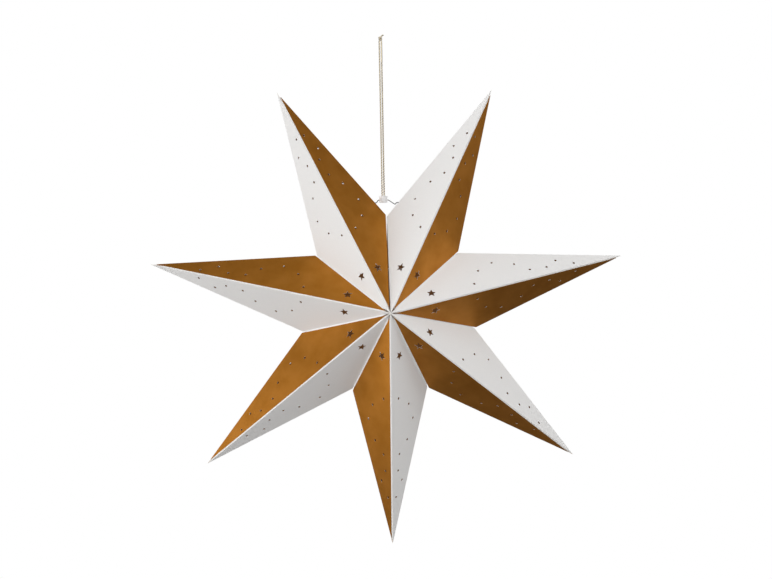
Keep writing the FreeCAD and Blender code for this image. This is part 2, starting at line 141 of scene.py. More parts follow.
floor_drop = 1.3
floor_reach = 2.2
fade_start = 0.6
fade_end = 0.97 * floor_reach
floor_middle = (star_middle.x, 0.0, star_middle.z - floor_drop)
bpy.ops.mesh.primitive_circle_add(vertices=96, radius=floor_reach, fill_type="NGON", location=floor_middle)
floor = bpy.context.object
floor.name = "floor"
bpy.ops.object.transform_apply(location=True, rotation=True, scale=True)
pale_floor, shader = finish_of("pale_floor", (0.86, 0.86, 0.86), 0.8)
floor.data.materials.append(pale_floor)
nodes, links = pale_floor.node_tree.nodes, pale_floor.node_tree.links
white_glow = nodes.new("ShaderNodeEmission")
from_edge = nodes.new("ShaderNodeTexCoord")
spot = nodes.new("ShaderNodeVectorMath")
spot.operation = "DISTANCE"
spot.inputs[1].default_value = floor_middle
fade = nodes.new("ShaderNodeMapRange")
fade.inputs["From Min"].default_value = fade_start
fade.inputs["From Max"].default_value = fade_end
ray = nodes.new("ShaderNodeLightPath")
both = nodes.new("ShaderNodeMath")
both.operation = "MULTIPLY"
blend_floor = nodes.new("ShaderNodeMixShader")
floor_tone = nodes.new("ShaderNodeMix")
floor_tone.data_type = "RGBA"
floor_tone.inputs["A"].default_value = (0.25, 0.25, 0.25, 1.0)
floor_tone.inputs["B"].default_value = (0.88, 0.88, 0.88, 1.0)
links.new(ray.outputs["Is Camera Ray"], floor_tone.inputs["Factor"])
links.new(floor_tone.outputs["Result"], shader.inputs["Base Color"])
links.new(from_edge.outputs["Object"], spot.inputs[0])
links.new(spot.outputs["Value"], fade.inputs["Value"])
links.new(fade.outputs["Result"], both.inputs[0])
links.new(ray.outputs["Is Camera Ray"], both.inputs[1])
links.new(both.outputs["Value"], blend_floor.inputs["Fac"])
links.new(shader.outputs["BSDF"], blend_floor.inputs[1])
links.new(white_glow.outputs["Emission"], blend_floor.inputs[2])
links.new(blend_floor.outputs["Shader"], nodes["Material Output"].inputs["Surface"])


# ---------------------------------------------------------------- twine
# One length of two-colour cotton twine, doubled: it runs from the knot down through the hub,
# under the wire, and back up to the knot. Four twisted plies, two cream and two brown; the brown is near
# black, so it also paints the shade of the crevices between the plies.

twine_diameter = 0.0019
twine_length = 0.1901
strand_half_gap = 0.0013
strand_stagger = 0.0015
ply_pitch = 0.0062                  # length of one full twist of the plies
wire_level = -0.1954                # middle of the wire where it runs through the hub
bight_low = wire_level - 0.0018     # the twine's middle line where it passes under the wire
twine_route = [
    (-strand_half_gap, 0.0, 0.0),
    (-strand_half_gap, -0.0007, -0.09),
    (-strand_half_gap, -strand_stagger, -0.180),
    (-strand_half_gap, -strand_stagger, wire_level + 0.001),
    (-strand_half_gap, -strand_stagger, bight_low),
    (0.0, 0.0, bight_low - 0.0002),
    (strand_half_gap, strand_stagger, bight_low),
    (strand_half_gap, strand_stagger, wire_level + 0.001),
    (strand_half_gap, strand_stagger, -0.180),
    (strand_half_gap, 0.0007, -0.09),
    (strand_half_gap, 0.0, 0.0),
]


def noise_on(material, scale, detail, stretch=(1.0, 1.0, 1.0)):
    """Noise on the object's own coordinates; scale is in bumps per metre."""
    nodes, links = material.node_tree.nodes, material.node_tree.links
    place = nodes.new("ShaderNodeTexCoord")
    turn = nodes.new("ShaderNodeMapping")
    turn.inputs["Scale"].default_value = stretch
    noise = nodes.new("ShaderNodeTexNoise")
    noise.inputs["Scale"].default_value = scale
    noise.inputs["Detail"].default_value = detail
    links.new(place.outputs["Object"], turn.inputs["Vector"])
    links.new(turn.outputs["Vector"], noise.inputs["Vector"])
    return noise


def bump_from(material, shader, value, depth, strength):
    """Fine relief; depth in metres."""
    nodes, links = material.node_tree.nodes, material.node_tree.links
    bump = nodes.new("ShaderNodeBump")
    bump.inputs["Distance"].default_value = depth
    bump.inputs["Strength"].default_value = strength
    links.new(value, bump.inputs["Height"])
    links.new(bump.outputs["Normal"], shader.inputs["Normal"])


def deselect():
    """Leaves edit mode and selects nothing."""
    if bpy.context.mode != "OBJECT":
        bpy.ops.object.mode_set(mode="OBJECT")
    bpy.ops.object.select_all(action="DESELECT")


def make_active(piece):
    """Selects one piece alone and makes it the active one."""
    deselect()
    piece.select_set(True)
    bpy.context.view_layer.objects.active = piece


def smooth_line(route):
    """Points along the smooth line that a route's control points give."""
    line = bpy.data.curves.new("route", "CURVE")
    line.dimensions = "3D"
    line.resolution_u = 24
    spline = line.splines.new("NURBS")
    spline.points.add(len(route) - 1)
    for point, place in zip(spline.points, route):
        point.co = (*place, 1.0)
    spline.order_u = 3
    spline.use_endpoint_u = True
    holder = bpy.data.objects.new("route", line)
    mesh = bpy.data.meshes.new_from_object(holder)
    points = [vertex.co.copy() for vertex in mesh.vertices]
    bpy.data.objects.remove(holder)
    bpy.data.curves.remove(line)
    bpy.data.meshes.remove(mesh)
    return points


def evenly(points, gap):
    """The same line with points an even gap apart."""
    lengths = [0.0]
    for a, b in zip(points, points[1:]):
        lengths.append(lengths[-1] + (b - a).length)
    count = max(2, round(lengths[-1] / gap))
    even, i = [], 0
    for n in range(count + 1):
        want = lengths[-1] * n / count
        while i < len(points) - 2 and lengths[i + 1] < want:
            i += 1
        span = lengths[i + 1] - lengths[i]
        even.append(points[i].lerp(points[i + 1], (want - lengths[i]) / span if span else 0.0))
    return even


def twine_section(radius):
    """Outline of four plies laid together, as a closed curve to sweep along a route."""
    outline = bpy.data.curves.new("twine_section", "CURVE")
    outline.dimensions = "2D"
    ply = radius * (math.sqrt(2.0) - 1.0)     # four plies of this radius just touch one another
    out = radius - ply
    corner_turn = math.radians(33.0)
    corners = []
    for quarter in range(4):
        middle = math.radians(90.0 * quarter)
        for step in range(-3, 3):
            turn = middle + corner_turn * (step + 0.5)
            corners.append((out * math.cos(middle) + ply * math.cos(turn),
                            out * math.sin(middle) + ply * math.sin(turn)))
    spline = outline.splines.new("POLY")
    spline.points.add(len(corners) - 1)
    for point, (x, y) in zip(spline.points, corners):
        point.co = (x, y, 0.0, 1.0)
    spline.use_cyclic_u = True
    holder = bpy.data.objects.new("twine_section", outline)
    scene.collection.objects.link(holder)
    return holder


def twisted_twine(name, points, diameter, start_turn=0.0):
    """Twine laid along points, its plies twisted round each other."""
    section = twine_section(diameter / 2)
    line = bpy.data.curves.new(name, "CURVE")
    line.dimensions = "3D"
    line.twist_mode = "MINIMUM"
    line.bevel_mode = "OBJECT"
    line.bevel_object = section
    line.use_fill_caps = True
    spline = line.splines.new("POLY")
    spline.points.add(len(points) - 1)
    travelled = 0.0
    for i, (point, place) in enumerate(zip(spline.points, points)):
        if i:
            travelled += (place - points[i - 1]).length
        point.co = (*place, 1.0)
        point.tilt = start_turn + 2 * math.pi * travelled / ply_pitch
    twine = bpy.data.objects.new(name, line)
    scene.collection.objects.link(twine)
    make_active(twine)
    bpy.ops.object.convert(target="MESH")
    twine = bpy.context.object
    bpy.ops.object.mode_set(mode="EDIT")
    bpy.ops.mesh.select_all(action="SELECT")
    bpy.ops.mesh.remove_doubles(threshold=1e-6)
    bpy.ops.mesh.normals_make_consistent(inside=False)
    bpy.ops.object.mode_set(mode="OBJECT")
    bpy.ops.object.shade_smooth_by_angle(angle=math.radians(60.0))
    bpy.data.objects.remove(section)
    return twine


point_gap = 0.0005
twine_points = evenly(smooth_line(twine_route), point_gap)
twine = twisted_twine("twine", twine_points, twine_diameter)
cotton, shader = finish_of("two_colour_cotton", (0.7, 0.6, 0.45), 0.9)
shader.inputs["Sheen Weight"].default_value = 0.15
nodes, links = cotton.node_tree.nodes, cotton.node_tree.links
around = nodes.new("ShaderNodeUVMap")
apart = nodes.new("ShaderNodeSeparateXYZ")
quarters = nodes.new("ShaderNodeMath")     # the two colours come round twice, ply by ply
quarters.operation = "MULTIPLY"
quarters.inputs[1].default_value = 2.0
stripe = nodes.new("ShaderNodeMath")
stripe.operation = "FRACT"
which = nodes.new("ShaderNodeValToRGB")
which.color_ramp.elements[0].position = 0.62
which.color_ramp.elements[0].color = (0.98, 0.87, 0.66, 1.0)
# The brown plies are near black: brown cotton, darkened further to paint the shade of the crevices between
# plies.
which.color_ramp.elements[1].position = 0.66
which.color_ramp.elements[1].color = (0.055, 0.026, 0.010, 1.0)
fibres = noise_on(cotton, 2500.0, 4.0, (1.0, 1.0, 0.35))
tint = nodes.new("ShaderNodeMix")
tint.data_type = "RGBA"
tint.blend_type = "MULTIPLY"
tint.inputs["Factor"].default_value = 0.25
links.new(around.outputs["UV"], apart.inputs["Vector"])
links.new(apart.outputs["Y"], quarters.inputs[0])
links.new(quarters.outputs["Value"], stripe.inputs[0])
links.new(stripe.outputs["Value"], which.inputs["Fac"])
links.new(which.outputs["Color"], tint.inputs["A"])
links.new(fibres.outputs["Fac"], tint.inputs["B"])
links.new(tint.outputs["Result"], shader.inputs["Base Color"])
bump_from(cotton, shader, fibres.outputs["Fac"], 0.0001, 0.6)
twine.data.materials.append(cotton)
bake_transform(twine)
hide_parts("twine_left", "twine_right", "twine_bight")


# ---------------------------------------------------------------- knot
# A stopper knot of the same doubled twine: a little over two tight turns round the two strands, and
# two short cut tails that lean to the right. It sits over whatever the pendant hangs from.

knot_twine = 0.0017
turn_radius = 0.00155
knot_turns = 2.25
knot_base = 0.0009
knot_rise = 0.0038
knot_point_gap = 0.0004
wrap_start_deg = 200.0
tail_turn = 0.7                     # radians that the plies are turned where a tail starts
quarter_turns = round(knot_turns * 4)
wrap_route = [(-0.0006, 0.0003, knot_base)]
for quarter in range(quarter_turns + 1):
    turn = math.radians(wrap_start_deg + 90.0 * quarter)
    reach = turn_radius * math.sqrt(2.0) if 0 < quarter < quarter_turns else turn_radius
    wrap_route.append((reach * math.cos(turn), reach * math.sin(turn),
                       knot_base + knot_rise * quarter / quarter_turns))
wrap_route.append((0.0004, 0.0002, knot_base + knot_rise))
knot = twisted_twine("knot_turns", evenly(smooth_line(wrap_route), knot_point_gap), knot_twine)
knot_pieces = [knot]
for side in (-1, 1):
    core_route = [
        (side * strand_half_gap, 0.0, 0.0),
        (side * 0.0009, side * 0.0001, 0.0012),
        (side * 0.0003, side * 0.0005, 0.0030),
        (0.0006, side * 0.0008, 0.0048),
        (0.0022, side * 0.0008, 0.0064),
        (0.0035 + side * 0.0004, side * 0.0009, 0.0073 + side * 0.0003),
    ]
    tail = twisted_twine("knot_tail", evenly(smooth_line(core_route), knot_point_gap), knot_twine, tail_turn)
    knot_pieces.append(tail)
deselect()
for piece in knot_pieces:
    piece.select_set(True)
bpy.context.view_layer.objects.active = knot
bpy.ops.object.join()
knot.name = "twine_stopper_knot"
knot.data.materials.clear()
knot.data.materials.append(cotton)
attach(knot, "hanging_twine")
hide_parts("twine_knot")


# ---------------------------------------------------------------- hub button
# Small round button of translucent plastic. Two holes take the strands, a mouth below takes the
# turn of the twine, and a cross bore takes the wire.

hub_radius = 0.0052
hub_top = -twine_length
hub_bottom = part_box("hub_button")[0][2]
hub_hole = 0.00105                  # radius of each strand's hole
hub_wire_bore = 0.00058             # radius of the wire's bore
hub_edge_round = 0.0007
through = 0.012                     # length of the tools that cut right through the hub
deselect()
bpy.ops.mesh.primitive_cylinder_add(vertices=64, radius=hub_radius, depth=hub_top - hub_bottom,
                                    location=(0.0, 0.0, (hub_top + hub_bottom) / 2))
hub = bpy.context.object
hub.name = "hub_button_body"
bpy.ops.object.transform_apply(location=True, rotation=True, scale=True)


def roughness_from(material, shader, value, low, high):
    """Roughness runs from low to high with a value between 0 and 1."""
    nodes, links = material.node_tree.nodes, material.node_tree.links
    spread = nodes.new("ShaderNodeMapRange")
    spread.inputs["To Min"].default_value = low
    spread.inputs["To Max"].default_value = high
    links.new(value, spread.inputs["Value"])
    links.new(spread.outputs["Result"], shader.inputs["Roughness"])


def select_edges(piece, chosen):
    """Enters edit mode with just the edges selected for which chosen(a, b) holds."""
    make_active(piece)
    bpy.ops.object.mode_set(mode="EDIT")
    bpy.ops.mesh.select_mode(type="EDGE")
    bpy.ops.mesh.select_all(action="DESELECT")
    bpy.ops.object.mode_set(mode="OBJECT")
    corners = piece.data.vertices
    for edge in piece.data.edges:
        edge.select = chosen(corners[edge.vertices[0]].co, corners[edge.vertices[1]].co)
    bpy.ops.object.mode_set(mode="EDIT")


select_edges(hub, lambda a, b: abs(a.z - b.z) < 1e-5)
bpy.ops.mesh.bevel(offset=hub_edge_round, segments=4, affect="EDGES")
bpy.ops.object.mode_set(mode="OBJECT")


def cut_with(piece, tool):
    """Takes the tool's shape out of the piece and removes the tool."""
    make_active(piece)
    cut = piece.modifiers.new("cut", "BOOLEAN")
    cut.operation = "DIFFERENCE"
    cut.solver = "EXACT"
    cut.object = tool
    bpy.ops.object.modifier_apply(modifier=cut.name)
    bpy.data.objects.remove(tool)


# Strand holes, mouth and cross bore, cut in this order.
for side in (-1, 1):
    deselect()
    bpy.ops.mesh.primitive_cylinder_add(
        vertices=24, radius=hub_hole, depth=through,
        location=(side * strand_half_gap, side * strand_stagger, (hub_top + hub_bottom) / 2))
    cut_with(hub, bpy.context.object)
deselect()
bpy.ops.mesh.primitive_cube_add(size=1.0, location=(0.0, 0.0, hub_bottom))
mouth = bpy.context.object
mouth.scale = (2 * math.hypot(strand_half_gap, strand_stagger), 2 * hub_hole, 2 * (bight_low - hub_bottom))
mouth.rotation_euler = (0.0, 0.0, math.atan2(strand_stagger, strand_half_gap))
cut_with(hub, mouth)
deselect()
bpy.ops.mesh.primitive_cylinder_add(vertices=24, radius=hub_wire_bore, depth=through,
                                    location=(0.0, 0.0, wire_level), rotation=(0.0, math.radians(90.0), 0.0))
cut_with(hub, bpy.context.object)
make_active(hub)
bpy.ops.object.shade_smooth_by_angle(angle=math.radians(35.0))
milky, shader = finish_of("milky_plastic", (0.97, 0.965, 0.97), 0.35)
shader.inputs["Transmission Weight"].default_value = 0.3
shader.inputs["IOR"].default_value = 1.42
cloud = noise_on(milky, 600.0, 3.0)
roughness_from(milky, shader, cloud.outputs["Fac"], 0.22, 0.36)
bump_from(milky, shader, cloud.outputs["Fac"], 0.00005, 0.3)
hub.data.materials.append(milky)
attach(hub, "hub")
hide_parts("hub_button")


# ---------------------------------------------------------------- wire bracket
# One length of dark steel wire: flat through the hub, an arm down to each side of the open seam,
# a hook through a hole in the card there, and a leg down into a socket of the lamp.

wire_thickness = 0.001
flat_half = 0.0064                  # half the straight length through the hub
leg_reach = 0.020                   # each leg's distance from the star's middle line
pin_level = star_middle.z + 0.13191
leg_foot = star_middle.z + 0.0451
wire_bends = [                      # x, z and how far the bend reaches along the wire
    (star_middle.x - leg_reach, pin_level, 0.0030),
    (star_middle.x - 0.0125, pin_level, 0.0009),
    (-flat_half, wire_level, 0.0012),
    (flat_half, wire_level, 0.0012),
    (star_middle.x + 0.0105, pin_level - 0.0023, 0.0010),
    (star_middle.x + 0.0127, pin_level, 0.0009),
    (star_middle.x + leg_reach, pin_level, 0.0030),
]
corners = [Vector((star_middle.x - leg_reach, 0.0, leg_foot))]
corners += [Vector((x, 0.0, z)) for x, z, bend in wire_bends]
corners.append(Vector((star_middle.x + leg_reach, 0.0, leg_foot)))
deselect()
bpy.ops.curve.primitive_nurbs_path_add()
wire = bpy.context.object
wire.name = "bent_wire"
wire_points = [corners[0]]
for i, (x, z, bend) in enumerate(wire_bends, 1):
    wire_points.append(corners[i] + (corners[i - 1] - corners[i]).normalized() * bend)
    wire_points.append(corners[i])
    wire_points.append(corners[i] + (corners[i + 1] - corners[i]).normalized() * bend)
wire_points.append(corners[-1])
spline = wire.data.splines[0]
spline.points.add(len(wire_points) - len(spline.points))
for point, place in zip(spline.points, wire_points):
    point.co = (*place, 1.0)
spline.order_u = 3
spline.use_endpoint_u = True
wire.data.resolution_u = 5
wire.data.bevel_depth = wire_thickness / 2
wire.data.bevel_resolution = 3
wire.data.use_fill_caps = True
bpy.ops.object.convert(target="MESH")
wire = bpy.context.object
bpy.ops.object.shade_smooth_by_angle(angle=math.radians(50.0))


def colours_from(material, shader, value, low, high):
    """Base colour runs from low to high with a value between 0.3 and 0.7."""
    nodes, links = material.node_tree.nodes, material.node_tree.links
    ramp = nodes.new("ShaderNodeValToRGB")
    ramp.color_ramp.elements[0].position = 0.3
    ramp.color_ramp.elements[0].color = (*low, 1.0)
    ramp.color_ramp.elements[1].position = 0.7
    ramp.color_ramp.elements[1].color = (*high, 1.0)
    links.new(value, ramp.inputs["Fac"])
    links.new(ramp.outputs["Color"], shader.inputs["Base Color"])


dark_wire, shader = finish_of("dark_drawn_wire", (0.06, 0.056, 0.05), 0.38, 0.85)
draw_marks = noise_on(dark_wire, 1800.0, 3.0, (1.0, 1.0, 0.15))
colours_from(dark_wire, shader, draw_marks.outputs["Fac"], (0.04, 0.037, 0.033), (0.10, 0.094, 0.086))
roughness_from(dark_wire, shader, draw_marks.outputs["Fac"], 0.28, 0.5)
wire.data.materials.append(dark_wire)
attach(wire, "bracket")
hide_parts("wire_bracket")


# ---------------------------------------------------------------- white leaves
# Each point of the star is two leaves of card. The white leaf is one punched piece: a front facet
# and a back facet with the rounded silhouette fold between them, and glue flaps bent over at ridge
# and valley, except at the valley of the open seam.

card = 0.0004
tip_radius = 0.300
notch_radius = 0.111
seam_rise = 0.0041
half_depth = 0.075
point_count = 7
droop_deg = 1.27
ridge_flap_width = 0.004
valley_flap_width = 0.005
flap_apex_margin = 0.006
flap_end_margin = 0.004
ridge_flap_tapers = (0.020, 0.028)  # how far each end slants in: near the apex, then far from it
valley_flap_tapers = (0.022, 0.005)
dot_radius = 0.0015
# Each place is the distance along the ridge from the apex, and off it.
dot_places = [(0.1132, 0.0130), (0.1265, 0.0319), (0.1481, 0.0397), (0.1739, 0.0286),
              (0.1886, 0.0139), (0.2103, 0.0112), (0.2261, 0.0182), (0.2459, 0.0070)]
back_dot_shift = 0.0025             # the three dots nearest the middle, further out at the back
back_dot_places = [(along + back_dot_shift, off) for along, off in dot_places[:3]] + dot_places[3:]
front_star_place = (0.0578, 0.0150)
back_star_place = (0.0615, 0.0150)
front_punches = (dot_places, front_star_place)
back_punches = (back_dot_places, back_star_place)
star_cut_outer = 0.0060
star_cut_inner = 0.0027
fold_round = 0.00035                # how far the rounded silhouette fold reaches into the facet
point_names = ["upper_right", "right", "lower_right", "bottom", "lower_left", "left", "upper_left"]
apex = star_middle + Vector((0.0, -half_depth, 0.0))


def spoke(even_deg, radius):
    """A place in the star's middle plane; points that stick out sideways sag a little."""
    even = math.radians(even_deg)
    turn = even - math.radians(droop_deg) * math.cos(even)
    return star_middle + Vector((radius * math.cos(turn), 0.0, radius * math.sin(turn)))


def tip_of(k):
    """Tip of point k, counted clockwise from the open seam at the top."""
    return spoke(90.0 - 360.0 / point_count * (k + 0.5), tip_radius)


def notch_of(k):
    """Notch before point k; the one at the open seam stands a little further out."""
    rise = seam_rise if k % point_count == 0 else 0.0
    return spoke(90.0 - 360.0 / point_count * k, notch_radius + rise)


class Facet:
    """One flat triangle of the star's front, between the apex, a tip and a notch."""

    def __init__(self, tip, notch):
        self.tip, self.notch = tip, notch
        self.ridge = (tip - apex).normalized()
        self.valley = (notch - apex).normalized()
        normal = self.ridge.cross(self.valley).normalized()
        self.normal = normal if normal.y < 0 else -normal
        from_ridge = self.normal.cross(self.ridge)
        self.from_ridge = from_ridge if from_ridge.dot(self.valley) > 0 else -from_ridge
        from_valley = self.normal.cross(self.valley)
        self.from_valley = from_valley if from_valley.dot(self.ridge) > 0 else -from_valley
        from_fold = self.normal.cross((notch - tip).normalized())
        self.from_fold = from_fold if from_fold.dot(self.ridge) < 0 else -from_fold
        # The rounded fold stays half its reach short of the sharp one.
        self.nose = Vector((self.from_fold.x, 0.0, self.from_fold.z)).normalized() * 0.5 * fold_round

    def by_ridge(self, along, off):
        """A place in the facet, along the ridge from the apex and off it."""
        return apex + self.ridge * along + self.from_ridge * off

    def by_valley(self, along, off):
        """A place in the facet, along the valley from the apex and off it."""
        return apex + self.valley * along + self.from_valley * off

    def at_fold(self, start, along, off):
        """Where a line in the facet meets the line that runs off inside the silhouette fold."""
        return intersect_line_line(start, start + along, self.tip + self.from_fold * off,
                                   self.notch + self.from_fold * off)[0]


def outline_of(name, corners):
    """Closed outline of a sheet of card, as a new mesh in edit mode."""
    deselect()
    bpy.ops.mesh.primitive_circle_add(vertices=len(corners), radius=0.01, fill_type="NOTHING")
    sheet = bpy.context.object
    sheet.name = name
    for vertex, corner in zip(sheet.data.vertices, corners):
        vertex.co = corner
    bpy.ops.object.mode_set(mode="EDIT")
    return sheet


def punch(sheet, facet, dots, star_place):
    """Adds the outlines of the eight dots and the star, then fills the card round them."""
    square_on = Matrix((facet.ridge, facet.from_ridge, facet.ridge.cross(facet.from_ridge))).transposed()
    lay_flat = square_on.to_euler()
    for along, off in dots:
        bpy.ops.mesh.primitive_circle_add(vertices=16, radius=dot_radius, fill_type="NOTHING",
                                          location=facet.by_ridge(along, off), rotation=lay_flat)
    bpy.ops.mesh.primitive_circle_add(vertices=10, radius=star_cut_outer, fill_type="NOTHING",
                                      location=facet.by_ridge(*star_place), rotation=lay_flat)
    bpy.ops.object.mode_set(mode="OBJECT")
    for i, vertex in enumerate(sheet.data.vertices[-10:]):     # the star's ten corners
        radius = star_cut_outer if i % 2 == 0 else star_cut_inner
        turn = math.radians(36.0 * i)
        vertex.co = facet.by_ridge(star_place[0] + radius * math.cos(turn),
                                   star_place[1] + radius * math.sin(turn))
    bpy.ops.object.mode_set(mode="EDIT")
    bpy.ops.mesh.select_all(action="SELECT")
    bpy.ops.mesh.fill(use_beauty=True)
    bpy.ops.object.mode_set(mode="OBJECT")


def is_near(a, b):
    """Whether two corners are the same place, to a hundredth of a millimetre."""
    return (a - b).length < 1e-5


def bend_out(sheet, near, far, near_outer, far_outer):
    """Extrudes the edge from near to far to the given outer corners: a rounded fold or a glue flap."""
    select_edges(sheet, lambda a, b: (is_near(a, near) and is_near(b, far)
                                      or is_near(a, far) and is_near(b, near)))
    bpy.ops.mesh.extrude_edges_move()
    bpy.ops.object.mode_set(mode="OBJECT")
    for vertex in sheet.data.vertices[-2:]:
        vertex.co = near_outer if is_near(vertex.co, near) else far_outer


def join_halves(front, back, outward, face):
    """Mirrors the back half, joins both at the silhouette fold and gives the card its thickness."""
    make_active(back)
    bpy.ops.object.mode_set(mode="EDIT")
    bpy.ops.mesh.select_all(action="SELECT")
    bpy.ops.transform.resize(value=(1.0, -1.0, 1.0), center_override=(0.0, 0.0, 0.0))
    bpy.ops.object.mode_set(mode="OBJECT")
    make_active(front)
    back.select_set(True)
    bpy.ops.object.join()
    sheet = front
    # The thickness takes its inner material, which paints the shade and warm glow of the star's inside, and
    # its rim material from these slots, so they come before it.
    for material in (face, painted_dim_inside, cut_edge):
        sheet.data.materials.append(material)
    bpy.ops.object.mode_set(mode="EDIT")
    bpy.ops.mesh.select_all(action="SELECT")
    bpy.ops.mesh.remove_doubles(threshold=1e-5)
    bpy.ops.mesh.normals_make_consistent(inside=False)
    bpy.ops.object.mode_set(mode="OBJECT")
    largest = max(sheet.data.polygons, key=lambda polygon: polygon.area)
    if largest.normal.y * largest.center.y < 0:
        bpy.ops.object.mode_set(mode="EDIT")
        bpy.ops.mesh.select_all(action="SELECT")
        bpy.ops.mesh.flip_normals()
        bpy.ops.object.mode_set(mode="OBJECT")
    wall = sheet.modifiers.new("thickness", "SOLIDIFY")
    wall.thickness = card
    wall.offset = outward
    wall.use_even_offset = True
    wall.material_offset = 1
    wall.material_offset_rim = 2
    bpy.ops.object.modifier_apply(modifier=wall.name)
    bpy.ops.object.shade_smooth_by_angle(angle=math.radians(6.0))


white_card, shader = finish_of("white_card", (0.86, 0.855, 0.85), 0.55)
pulp = noise_on(white_card, 900.0, 6.0)
colours_from(white_card, shader, pulp.outputs["Fac"], (0.845, 0.84, 0.835), (0.875, 0.87, 0.865))
bump_from(white_card, shader, pulp.outputs["Fac"], 0.00003, 0.35)

# Inside faces of every leaf: a dark warm brown that paints the shade of the star's unlit inside, and a faint
# orange emission that paints a warm glow there, though the card is no lamp.
painted_dim_inside, shader = finish_of("card_inside_painted_shade_and_glow", (0.26, 0.13, 0.055), 0.8)
shader.inputs["Emission Color"].default_value = (1.0, 0.5, 0.2, 1.0)
shader.inputs["Emission Strength"].default_value = 0.055
pulp = noise_on(painted_dim_inside, 700.0, 6.0)
colours_from(painted_dim_inside, shader, pulp.outputs["Fac"], (0.22, 0.11, 0.045), (0.30, 0.155, 0.068))

cut_edge, shader = finish_of("card_cut_edge", (0.78, 0.74, 0.68), 0.85)
pulp = noise_on(cut_edge, 3000.0, 3.0)
colours_from(cut_edge, shader, pulp.outputs["Fac"], (0.70, 0.66, 0.60), (0.84, 0.80, 0.74))


def white_half(k, punches):
    """One facet of a white leaf with its rounded silhouette fold and glue flaps, punched."""
    own = Facet(tip_of(k), notch_of(k))
    over_ridge = Facet(tip_of(k), notch_of(k + 1))
    over_valley = Facet(tip_of(k - 1), notch_of(k))
    near = flap_apex_margin
    ridge_end = (own.tip - apex).length - flap_end_margin
    valley_end = (own.notch - apex).length - flap_end_margin
    ridge_near, ridge_far = own.by_ridge(near, 0.0), own.by_ridge(ridge_end, 0.0)
    valley_near, valley_far = own.by_valley(near, 0.0), own.by_valley(valley_end, 0.0)
    by_tip = own.at_fold(apex, own.ridge, fold_round)
    by_notch = own.at_fold(apex, own.valley, fold_round)
    sheet = outline_of("white_card_" + point_names[k],
                       [apex, ridge_near, ridge_far, by_tip, by_notch, valley_far, valley_near])
    punch(sheet, own, *punches)
    bend_out(sheet, by_tip, by_notch, own.tip + own.nose, own.notch + own.nose)
    bend_out(sheet, ridge_near, ridge_far,
             over_ridge.by_ridge(near + ridge_flap_tapers[0], ridge_flap_width),
             over_ridge.by_ridge(ridge_end - ridge_flap_tapers[1], ridge_flap_width))
    if k > 0:
        bend_out(sheet, valley_near, valley_far,
                 over_valley.by_valley(near + valley_flap_tapers[0], valley_flap_width),
                 over_valley.by_valley(valley_end - valley_flap_tapers[1], valley_flap_width))
    return sheet


for k, name in enumerate(point_names):
    sheet = white_half(k, front_punches)
    join_halves(sheet, white_half(k, back_punches), -1.0, white_card)
    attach(sheet, "star")
    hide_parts("white_leaf_" + name)


# ---------------------------------------------------------------- gold leaves
# The other half of each point: card with a satin metallic gold print, punched with the same
# pattern and glued over the white flaps. Its edges stop just short of the folds.

gold_setback = 0.0018               # how far the card stops short of the ridge and of the valley
gold_tip_gap = 0.0068               # how far it stops short of the tip, along the ridge

gold_print, shader = finish_of("gold_print", (0.44, 0.173, 0.022), 0.38, 0.95)
shader.inputs["Specular IOR Level"].default_value = 0.2
grain = noise_on(gold_print, 1500.0, 5.0)
uneven = noise_on(gold_print, 45.0, 9.0)
colours_from(gold_print, shader, uneven.outputs["Fac"], (0.40, 0.152, 0.016), (0.49, 0.196, 0.029))
roughness_from(gold_print, shader, grain.outputs["Fac"], 0.31, 0.43)
bump_from(gold_print, shader, grain.outputs["Fac"], 0.00003, 0.3)


def gold_half(k, punches):
    """One facet of a gold leaf with its rounded silhouette fold, punched."""
    own = Facet(tip_of(k), notch_of(k + 1))
    near_tip = own.by_ridge((own.tip - apex).length - gold_tip_gap, gold_setback)
    by_valley = own.by_valley(0.0, gold_setback)
    outer = own.at_fold(near_tip, own.from_ridge, fold_round)
    inner = own.at_fold(by_valley, own.valley, fold_round)
    near_apex = intersect_line_line(near_tip, near_tip + own.ridge, by_valley, by_valley + own.valley)[0]
    sheet = outline_of("gold_card_" + point_names[k], [near_apex, near_tip, outer, inner])
    punch(sheet, own, *punches)
    bend_out(sheet, outer, inner, own.at_fold(near_tip, own.from_ridge, 0.0) + own.nose,
             own.at_fold(by_valley, own.valley, 0.0) + own.nose)
    return sheet


for k, name in enumerate(point_names):
    sheet = gold_half(k, front_punches)
    join_halves(sheet, gold_half(k, back_punches), 1.0, gold_print)
    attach(sheet, "star")
    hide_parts("gold_leaf_" + name)


# ---------------------------------------------------------------- battery cells
# Three AAA cells, turned nose to tail: a steel can in a plain plastic sleeve that leaves both ends
# bare, with a raised button at the plus end. They drop into the case from the back.

def turned(name, profile, middle, facing):
    """Solid turned round a line along X; profile holds pairs of distance along and radius."""
    deselect()
    bpy.ops.mesh.primitive_circle_add(vertices=len(profile), radius=0.01, fill_type="NOTHING")
    piece = bpy.context.object
    piece.name = name
    for vertex, (along, radius) in zip(piece.data.vertices, profile):
        vertex.co = middle + Vector((facing * along, 0.0, radius))
    bpy.ops.object.mode_set(mode="EDIT")
    bpy.ops.mesh.select_all(action="SELECT")
    bpy.ops.mesh.spin(steps=40, angle=2 * math.pi, center=middle, axis=(1.0, 0.0, 0.0))
    bpy.ops.mesh.select_all(action="SELECT")
    bpy.ops.mesh.remove_doubles(threshold=1e-6)
    bpy.ops.mesh.delete_loose()
    bpy.ops.mesh.select_all(action="SELECT")
    bpy.ops.mesh.normals_make_consistent(inside=False)
    bpy.ops.object.mode_set(mode="OBJECT")
    bpy.ops.object.transform_apply(location=True, rotation=True, scale=True)
    bpy.ops.object.shade_smooth_by_angle(angle=math.radians(30.0))
    return piece


